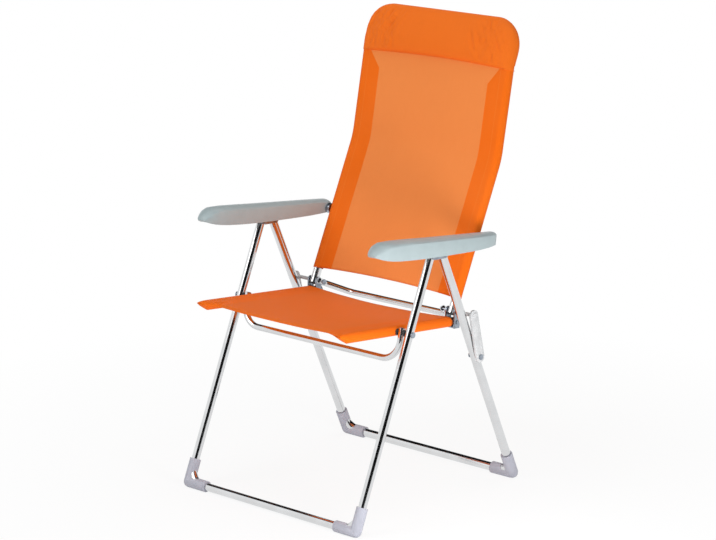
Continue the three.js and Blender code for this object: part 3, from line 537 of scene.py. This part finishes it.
def half_section(sag):
    """The cloth's section from the middle of the chair out, over and round a tube, and back under the panel, in
    millimetres: (across, height above the tube's middle)."""
    points = []
    for i in range(PANEL_STEPS + 1):
        share = i / PANEL_STEPS
        points.append((share * RAIL_X, WRAP - sag * crowned(share)))
    for i in range(1, WRAP_STEPS + 1):
        angle = math.radians(90 - i * WRAP_STEP_DEGREES)
        points.append((RAIL_X + WRAP * math.cos(angle), WRAP * math.sin(angle)))
    end = points[-1]
    under = WRAP - FLAP_GAP
    flap_x = RAIL_X - FLAP_START
    to = under - sag * crowned(flap_x / RAIL_X)
    for i in range(1, RETURN_STEPS + 1):
        t = i / RETURN_STEPS
        points.append((end[0] + (flap_x - end[0]) * t, end[1] + (to - end[1]) * smooth_step(0.0, 1.0, t)))
    for i in range(1, FLAP_STEPS + 1):
        x = flap_x - (FLAP - FLAP_START) * i / FLAP_STEPS
        points.append((x, under - sag * crowned(x / RAIL_X)))
    return points


def sling(name, stations, sag_at, trim_at, material, ripple, closing=lambda run: 1.0):
    """A cloth along stations: each is (origin, way, normal) in the side plane, in millimetres, with the length so far.
    trim_at(x share) gives how far the first and the last edge are drawn in there, and closing(run) how open the
    sleeves are, from 1 to 0 where they close over a tube's end. Returns the cloth and its flat size in metres."""
    total = stations[-1][3]
    whole = resample(half_section(0.0), HALF_STEPS)[-1][1]
    cols = HALF_STEPS * 2 + 1
    vertices, uvs = [], []
    for origin, way, normal, run in stations:
        t = run / total
        sag = sag_at(t)
        section = resample(half_section(sag), HALF_STEPS)
        open_share = closing(run)
        for j in range(cols):
            k = abs(j - HALF_STEPS)
            sign = 1 if j >= HALF_STEPS else -1
            (x, v), _ = section[k]
            if open_share < 1:
                top = WRAP - sag * max(crowned(x / RAIL_X), 0) - TIP_DROP * (1 - open_share)
                v = top + (v - top) * (CLOSED_OPENING + (1 - CLOSED_OPENING) * open_share)
                x -= max(x - RAIL_X, 0) * (1 - open_share) * TIP_DRAW
            first, last = trim_at(min(x / RAIL_X, 1.0))
            u = sign * whole * k / HALF_STEPS
            along = run + first * (1 - t) ** 3 - last * t ** 3
            v += ripple(u, along, k / HALF_STEPS)
            y = origin[0] + way[0] * (along - run) + normal[0] * v
            z = origin[1] + way[1] * (along - run) + normal[1] * v
            vertices.append(place(sign * x, y, z))
            uvs.append((u, along))
    obj = make(name, vertices, grid_faces(len(stations), cols), material, uvs)
    thicken(obj, CLOTH)
    return obj, whole * 2 * MM, total * MM


# Seat cloth, along the rails
SEAT_FRONT, SEAT_REAR = -284.0, 111.0
RAIL_END = -255.0  # outer face of the rails' front plugs
TIP_STEPS = 12
SEAT_STEPS = 58
SEAT_SAG = 9.0
SEAT_END_SAG = 0.75  # share of the sag that is left at both ends
TIP_ROUND = 0.6
SEAT_FRONT_TRIM = 20.0  # how far the front edge lies behind the tips
SEAT_FRONT_BOW = 3.0
SEAT_REAR_BOW = 9.0
TIP_FROM = 0.74  # share of the way out at which the front edge starts to run forward to a tip
SEAT_WAVES = dict(amplitude=0.5, across=0.012, along=0.012, seed=3.0)
SEAT_EDGE_WAVES = dict(amplitude=0.5, across=0.03, along=0.02, seed=7.0)
SEAT_EDGE_REACH = (70.0, 60.0)  # how far in from the front and the rear edge those waves run
SEAT_WAVES_TO, SEAT_EDGE_WAVES_TO = 0.5, 0.55  # shares of the section, from the middle out and round the tube

rail_slope = math.hypot(1.0, RAIL_DROP)
rail_way = (1.0 / rail_slope, -RAIL_DROP / rail_slope)
rail_up = (RAIL_DROP / rail_slope, 1.0 / rail_slope)
seat_length = (SEAT_REAR - SEAT_FRONT) * rail_slope
tip_length = (RAIL_END - SEAT_FRONT) * rail_slope


def seat_station(y):
    origin = (y, SEAT_PIVOT[1] - RAIL_DROP * (y - SEAT_PIVOT[0]))
    return origin, rail_way, rail_up, (y - SEAT_FRONT) * rail_slope


def seat_closing(run):
    """How open the seat's sleeves are: they close over the rails' front ends."""
    return min(run / tip_length, 1.0) ** TIP_ROUND


def seat_sag(t):
    return SEAT_SAG * (SEAT_END_SAG + (1 - SEAT_END_SAG) * math.sin(math.pi * t))


def seat_trim(share):
    front = SEAT_FRONT_TRIM * (1 - smooth_step(TIP_FROM, 1.0, share)) + SEAT_FRONT_BOW * crowned(share)
    return front, SEAT_REAR_BOW * crowned(share)


def seat_ripple(u, along, k):
    front_reach, rear_reach = SEAT_EDGE_REACH
    edge = max(0.0, 1 - along / front_reach) + max(0.0, 1 - (seat_length - along) / rear_reach)
    wave = waves(u, along, **SEAT_WAVES) if k < SEAT_WAVES_TO else 0
    return wave + (edge * waves(u, along, **SEAT_EDGE_WAVES) if k < SEAT_EDGE_WAVES_TO else 0)


tip_ys = [SEAT_FRONT + (RAIL_END - SEAT_FRONT) * (1 - math.cos(math.pi / 2 * i / TIP_STEPS)) for i in range(TIP_STEPS)]
seat_ys = [RAIL_END + (SEAT_REAR - RAIL_END) * i / SEAT_STEPS for i in range(SEAT_STEPS + 1)]
mat_seat = mesh_cloth("seat_cloth", ORANGE, SEAT_ORANGE, band=HEM_BAND, edge=CLOTH_EDGE)
seat_cloth, flat_w, flat_l = sling("seat_cloth", [seat_station(y) for y in tip_ys + seat_ys], seat_sag, seat_trim,
                                   mat_seat, seat_ripple, seat_closing)
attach(seat_cloth, "seat")
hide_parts("seat_sling")

# Back cloth, along the tubes' bent line
BACK_CLOTH_START = 31.0  # above the back's pivot
BACK_CLOTH_END = BACK_CORNER_R + 4  # below the top bar
BACK_STEPS = 110
SIDE_LINE_STEPS = 24
BACK_SAG, BACK_SAG_MORE = 5.0, 6.0
BACK_LOW_BOW = 8.0
NARROW_FROM, NARROW_TO = 84.0, 40.0  # below the cloth's top end: there the hems draw in to NARROW_BAND
NARROW_BAND = 24.0
CREASE_AT, CREASE_REACH = 385.0, 60.0  # up the cloth, at the tubes' bend
CREASE_FROM, CREASE_FULL = 150.0, 60.0  # across the cloth
RETURN_SHARE = 0.62  # share of the section beyond which the cloth lies flat on itself
BACK_WAVES = dict(amplitude=0.7, across=0.01, along=0.008, seed=5.0)
BACK_CREASES = dict(amplitude=0.9, across=0.05, along=0.06, seed=11.0)

low_way = (Vector(BACK_BEND) - Vector(BACK_PIVOT)).normalized()
high_way = (Vector(BACK_TOP) - Vector(BACK_HEAD)).normalized()


def side_line(end):
    """The middle line of the back's tube in the side plane, from the cloth's low end to a given end."""
    start = Vector(BACK_PIVOT) + low_way * BACK_CLOTH_START
    corners = [(0.0, *q) for q in (start, BACK_BEND, BACK_HEAD, end)]
    return [(q.y, q.z) for q in bent(corners, [BACK_BEND_R, BACK_HEAD_R], SIDE_LINE_STEPS)]


spaced = resample(side_line(Vector(BACK_TOP) - high_way * BACK_CLOTH_END), BACK_STEPS)
back_length = spaced[-1][1]
back_stations = []
for i, (point, run) in enumerate(spaced):
    before = Vector(spaced[max(i - 1, 0)][0])
    after = Vector(spaced[min(i + 1, len(spaced) - 1)][0])
    way = (after - before).normalized()
    back_stations.append((point, tuple(way), (-way.y, way.x), run))


def back_sag(t):
    return BACK_SAG + BACK_SAG_MORE * math.sin(math.pi * min(t * 1.1, 1.0))


def back_trim(share):
    return BACK_LOW_BOW * crowned(share), 0.0


def back_ripple(u, along, k):
    if k > RETURN_SHARE:
        return 0.0
    bend = math.exp(-((along - CREASE_AT) / CREASE_REACH) ** 2)
    side = min(1.0, max(0.0, (abs(u) - CREASE_FROM) / CREASE_FULL))
    return waves(u, along, **BACK_WAVES) + side * bend * waves(u, along, **BACK_CREASES)


mat_back = mesh_cloth("back_cloth", ORANGE, PANEL_ORANGE, band=HEM_BAND, edge=CLOTH_EDGE,
                      narrows=(back_length - NARROW_FROM, back_length - NARROW_TO, NARROW_BAND))
back_cloth, flat_w, flat_l = sling("back_cloth", back_stations, back_sag, back_trim, mat_back, back_ripple)
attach(back_cloth, "back")
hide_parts("back_sling")

# Head pocket: a padded front and a plain rear that meet in a seam along the outside of the tube.
# Its points are x across, r up from the top bar's middle and o out in front of the tube's middle line.
OUT = 14.2  # reach of the cloth from the tube's middle
PAD_LOW = -108.0
PAD_ARCH = 8.0  # how much higher the pad's low edge is in the middle
REAR_LOW = -98.0
PAD_CROWN = 17.0
PAD_CROWN_INSET = 6.0
PAD_CLOTH = 1.6
REAR_CLOTH = 1.2
REAR_SLACK = 3.0  # how much nearer to the front the rear's middle lies
REAR_SLACK_FROM, REAR_SLACK_TO = 30, 80
SEAM = 1.3  # how far both halves reach past each other where they are sewn together
SEAM_WIDTH = 2.5
SEAM_ALLOWANCE = 10.0
REAR_HEM = 12.0
TIGHT = 1.6  # how much closer the pocket lies to the tube at its low edge
TOP_INSET = 0.02
POCKET_COLS = 150
PAD_ROWS = 56
REAR_ROWS = 44
HEAD_STEPS = 600
HEAD_STRAIGHT = -20.0  # above this the tube's side line is straight
GATHER_FROM, GATHER_FULL = 85, 150  # from the middle out
CREASES = (
    dict(amplitude=2.2, across=0.045, along=0.016, seed=2.0),
    dict(amplitude=4.5, across=0.085, along=0.024, seed=9.0, slant=0.05),
    dict(amplitude=3.2, across=0.17, along=0.06, seed=5.0, slant=-0.07),
)
SEAM_GATHERS = dict(amplitude=3.5, across=0.10, along=0.03, seed=7.0, slant=0.04)
SEAM_GATHER_FROM, SEAM_GATHER_FULL = 2, 16  # inside the outline
SEAM_GATHER_RISE = 0.12  # share of the pad's height over which those gathers grow from its low edge
CROWN_POWER, CROWN_ROUND = 4, 0.7  # how flat the crown is across, and how round it falls at its sides
SWELL_SHIFT, SWELL_ROUND = 0.8, 0.62  # the same up the pad, where the fullest place is a little below the middle
PAD_LUMPS = dict(amplitude=1.5, across=0.012, along=0.02, seed=4.0)
ROLL = ((1.5, 1.6), (4.0, 2.2), (7.5, 1.2))  # the rolled low edge: how far behind it, and how far below it

X_MAX = RAIL_X + OUT
spaced = resample(side_line(BACK_TOP), HEAD_STEPS)
head_line = [Vector(point) for point, _ in spaced]
head_run = spaced[-1][1]


def pad_low(x):
    return PAD_LOW + PAD_ARCH * max(crowned(x / X_MAX), 0.0)


def outline_half(r):
    """Half the width of the pocket at a height r."""
    if r <= -BACK_CORNER_R:
        return X_MAX - TIGHT * smooth_step(0.0, 1.0, (-BACK_CORNER_R - r) / (-BACK_CORNER_R - PAD_LOW))
    rise = min(r + BACK_CORNER_R, BACK_CORNER_R + OUT)
    return RAIL_X - BACK_CORNER_R + math.sqrt(max((BACK_CORNER_R + OUT) ** 2 - rise ** 2, 0.0))


def edge_distance(x, r):
    """Distance from a point to the pocket's round outline at its sides and top."""
    x = abs(x)
    corner_x = RAIL_X - BACK_CORNER_R
    if x > corner_x and r > -BACK_CORNER_R:
        return BACK_CORNER_R + OUT - math.hypot(x - corner_x, r + BACK_CORNER_R)
    if r > -BACK_CORNER_R:
        return OUT - r
    return outline_half(r) - x


def pocket_point(x, r, o):
    if r > HEAD_STRAIGHT:
        p, way = Vector(BACK_TOP) + high_way * r, high_way
    else:
        steps_up = (head_run + r) / head_run * HEAD_STEPS
        i = min(int(steps_up), HEAD_STEPS - 2)
        way = (head_line[i + 2] - head_line[i - 1]).normalized()
        p = head_line[i] + (head_line[i + 1] - head_line[i]) * (steps_up - i)
    return place(x, p.x - way.y * o, p.y + way.x * o)


def round_side(d):
    """How far out the cloth lies at a distance d inside the outline, as it runs round the tube."""
    round_tube = OUT * math.sqrt(max(1 - (1 - min(d / OUT, 1.0)) ** 2, 0.0))
    return round_tube - SEAM * max(1 - d / SEAM_WIDTH, 0.0)


def pad_front(x, r):
    d = max(edge_distance(x, r), 0.0)
    across = max(0.0, 1 - (abs(x) / (X_MAX - PAD_CROWN_INSET)) ** CROWN_POWER) ** CROWN_ROUND
    t = (r - pad_low(x)) / (OUT - pad_low(x))
    swell = max(0.0, math.sin(math.pi * min(max(t, 0.0), 1.0) ** SWELL_SHIFT)) ** SWELL_ROUND
    side = 1 if x > 0 else -1
    outer = smooth_step(GATHER_FROM, GATHER_FULL, abs(x))

    def gathers(slant=0.0, **wave):
        return waves(x, r, slant=side * slant, **wave) * outer

    crown = PAD_CROWN + sum(gathers(**crease) for crease in CREASES) + waves(x, r, **PAD_LUMPS)
    seam_gather = gathers(**SEAM_GATHERS) * smooth_step(SEAM_GATHER_FROM, SEAM_GATHER_FULL, d)
    return round_side(d) + crown * across * swell + seam_gather * smooth_step(0.0, SEAM_GATHER_RISE, t)


def pad_rear(x, r):
    d = edge_distance(x, r)
    return REAR_SLACK * smooth_step(REAR_SLACK_FROM, REAR_SLACK_TO, d) - round_side(max(d, 0.0))


def across_share(j):
    return -math.cos(math.pi * j / POCKET_COLS)


def pocket(name, low_at, height, rows):
    vertices, uvs = [], []
    for i in range(rows + 1):
        s = 0.5 - 0.5 * math.cos(math.pi * i / rows)
        for j in range(POCKET_COLS + 1):
            r = OUT - (OUT - low_at(across_share(j) * X_MAX)) * s if i else OUT - TOP_INSET
            x = across_share(j) * outline_half(r)
            vertices.append(pocket_point(x, r, height(x, r)))
            uvs.append((x, r))
    return make(name, vertices, grid_faces(rows + 1, POCKET_COLS + 1), mat_pad, uvs)


def roll_low_edge(obj):
    """The pad's low edge rolls under to the cloth behind it."""
    mesh = bmesh.new()
    mesh.from_mesh(obj.data)
    mesh.verts.ensure_lookup_table()
    uv_layer = mesh.loops.layers.uv.active
    lowest = [mesh.verts[PAD_ROWS * (POCKET_COLS + 1) + j] for j in range(POCKET_COLS + 1)]
    front_way = Vector((0.0, -high_way.y, high_way.x))
    down_way = Vector((0.0, -high_way.x, -high_way.y))
    previous = lowest
    for depth, drop in ROLL:
        ring = [mesh.verts.new(vertex.co - front_way * depth * MM + down_way * drop * MM) for vertex in lowest]
        for j in range(POCKET_COLS):
            face = mesh.faces.new((previous[j], previous[j + 1], ring[j + 1], ring[j]))
            face.smooth = True
            for loop, k in zip(face.loops, (j, j + 1, j + 1, j)):
                loop[uv_layer].uv = (across_share(k) * X_MAX, PAD_LOW - depth)
        previous = ring
    mesh.to_mesh(obj.data)
    mesh.free()


mat_pad = mesh_cloth("pad_cloth", PAD_ORANGE, PAD_PALE_ORANGE)
pad = pocket("head_pillow", pad_low, pad_front, PAD_ROWS)
roll_low_edge(pad)
thicken(pad, PAD_CLOTH)
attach(pad, "back")
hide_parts("head_pad")

rear = pocket("head_pocket_rear", lambda x: REAR_LOW, pad_rear, REAR_ROWS)
thicken(rear, REAR_CLOTH)
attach(rear, "back")
flat_w = (X_MAX + SEAM_ALLOWANCE) * 2 * MM
flat_l = (OUT - REAR_LOW + REAR_HEM) * MM


# Lamps: a soft key light from the front, a broad one above, and a small one beside the near armrest
def lamp(name, where, towards, size, power):
    data = bpy.data.lights.new(name, "AREA")
    data.energy = power
    data.size = size
    obj = bpy.data.objects.new(name, data)
    bpy.context.scene.collection.objects.link(obj)
    obj.location = where
    obj.rotation_mode = "QUATERNION"
    obj.rotation_quaternion = (Vector(towards) - Vector(where)).to_track_quat("-Z", "Y")
    return obj


CHAIR_MIDDLE = (0, 0, 0.6)
lamp("key", (-1.5, -3.3, 3.3), CHAIR_MIDDLE, size=2.2, power=46)
near_lamp = lamp("side", (1.10, -0.50, 0.42), (0.3, -0.1, 0.62), size=0.35, power=7.6)
near_lamp.visible_glossy = False
near_lamp.visible_camera = False
lamp("top", (0.2, 0.2, 4.2), CHAIR_MIDDLE, size=2.6, power=41)

# World: white where it is seen, and dimmer as a light on the chair
WHITE = (1, 1, 1, 1)
SOFT_LIGHT = 0.50
world = bpy.data.worlds.new("studio")
bpy.context.scene.world = world
world.use_nodes = True
world.node_tree.nodes.clear()
n = Nodes(world.node_tree)
soft = n.add("ShaderNodeBackground", {"Color": WHITE, "Strength": SOFT_LIGHT})
plain = n.add("ShaderNodeBackground", {"Color": WHITE, "Strength": 1.0})
mixed = n.add("ShaderNodeMixShader", {0: n.seen_directly(), 1: soft.outputs[0], 2: plain.outputs[0]})
n.put(n.add("ShaderNodeOutputWorld").inputs["Surface"], mixed.outputs[0])

# Floor: white where it is seen, with a little of the chair's shadow near it
FLOOR_HALF = 9
FLOOR_GREY = (0.93, 0.93, 0.93, 1.0)
SHADOW_FROM, SHADOW_TO = 0.6, 1.5  # from the chair's middle, in metres
SHADOW_WHITE = 0.86
n = Surface("floor")
corners = [(-FLOOR_HALF, -FLOOR_HALF, 0), (FLOOR_HALF, -FLOOR_HALF, 0),
           (FLOOR_HALF, FLOOR_HALF, 0), (-FLOOR_HALF, FLOOR_HALF, 0)]
floor = make("floor", corners, [(0, 1, 2, 3)], n.material, smooth=False)
n.tree.nodes.remove(n.shader)
matte = n.add("ShaderNodeBsdfDiffuse", {"Color": FLOOR_GREY})
white = n.add("ShaderNodeEmission", {"Color": WHITE, "Strength": 1.0})
outwards = n.add("ShaderNodeVectorMath", {0: n.where()}, operation="LENGTH").outputs["Value"]
share = n.times(n.seen_directly(), n.ramp(outwards, SHADOW_FROM, SHADOW_TO, SHADOW_WHITE, 1.0))
mixed = n.add("ShaderNodeMixShader", {0: share, 1: matte.outputs[0], 2: white.outputs[0]})
n.put(n.output.inputs["Surface"], mixed.outputs[0])

# Dark studio cards that only reflections see, so that the bright metal has dark lines
n = Surface("dark_card")
n.set(Base_Color=(0.012, 0.012, 0.013, 1.0), Roughness=1.0)
n.shader.inputs["Specular IOR Level"].default_value = 0.0
card_material = n.material


def card(name, corners):
    obj = make(name, corners, [(0, 1, 2, 3)], card_material, smooth=False)
    obj.visible_camera = False
    obj.visible_diffuse = False
    obj.visible_shadow = False
    obj.visible_transmission = False


def facing(azimuth, distance, half, low, high):
    """Corners of an upright card that faces the chair from an azimuth."""
    out = Vector((math.cos(azimuth), math.sin(azimuth), 0.0)) * distance
    across = Vector((-math.sin(azimuth), math.cos(azimuth), 0.0)) * half
    low, high = Vector((0, 0, low)), Vector((0, 0, high))
    return [out - across + low, out + across + low, out + across + high, out - across + high]


card("front_card", facing(math.radians(-46), distance=4.0, half=3.3, low=0.4, high=3.4))
card("ceiling_card", [(-6.0, -1.0, 2.5), (3.0, -1.0, 2.5), (3.0, 6.0, 2.5), (-6.0, 6.0, 2.5)])

bpy.context.scene.view_settings.view_transform = "Standard"
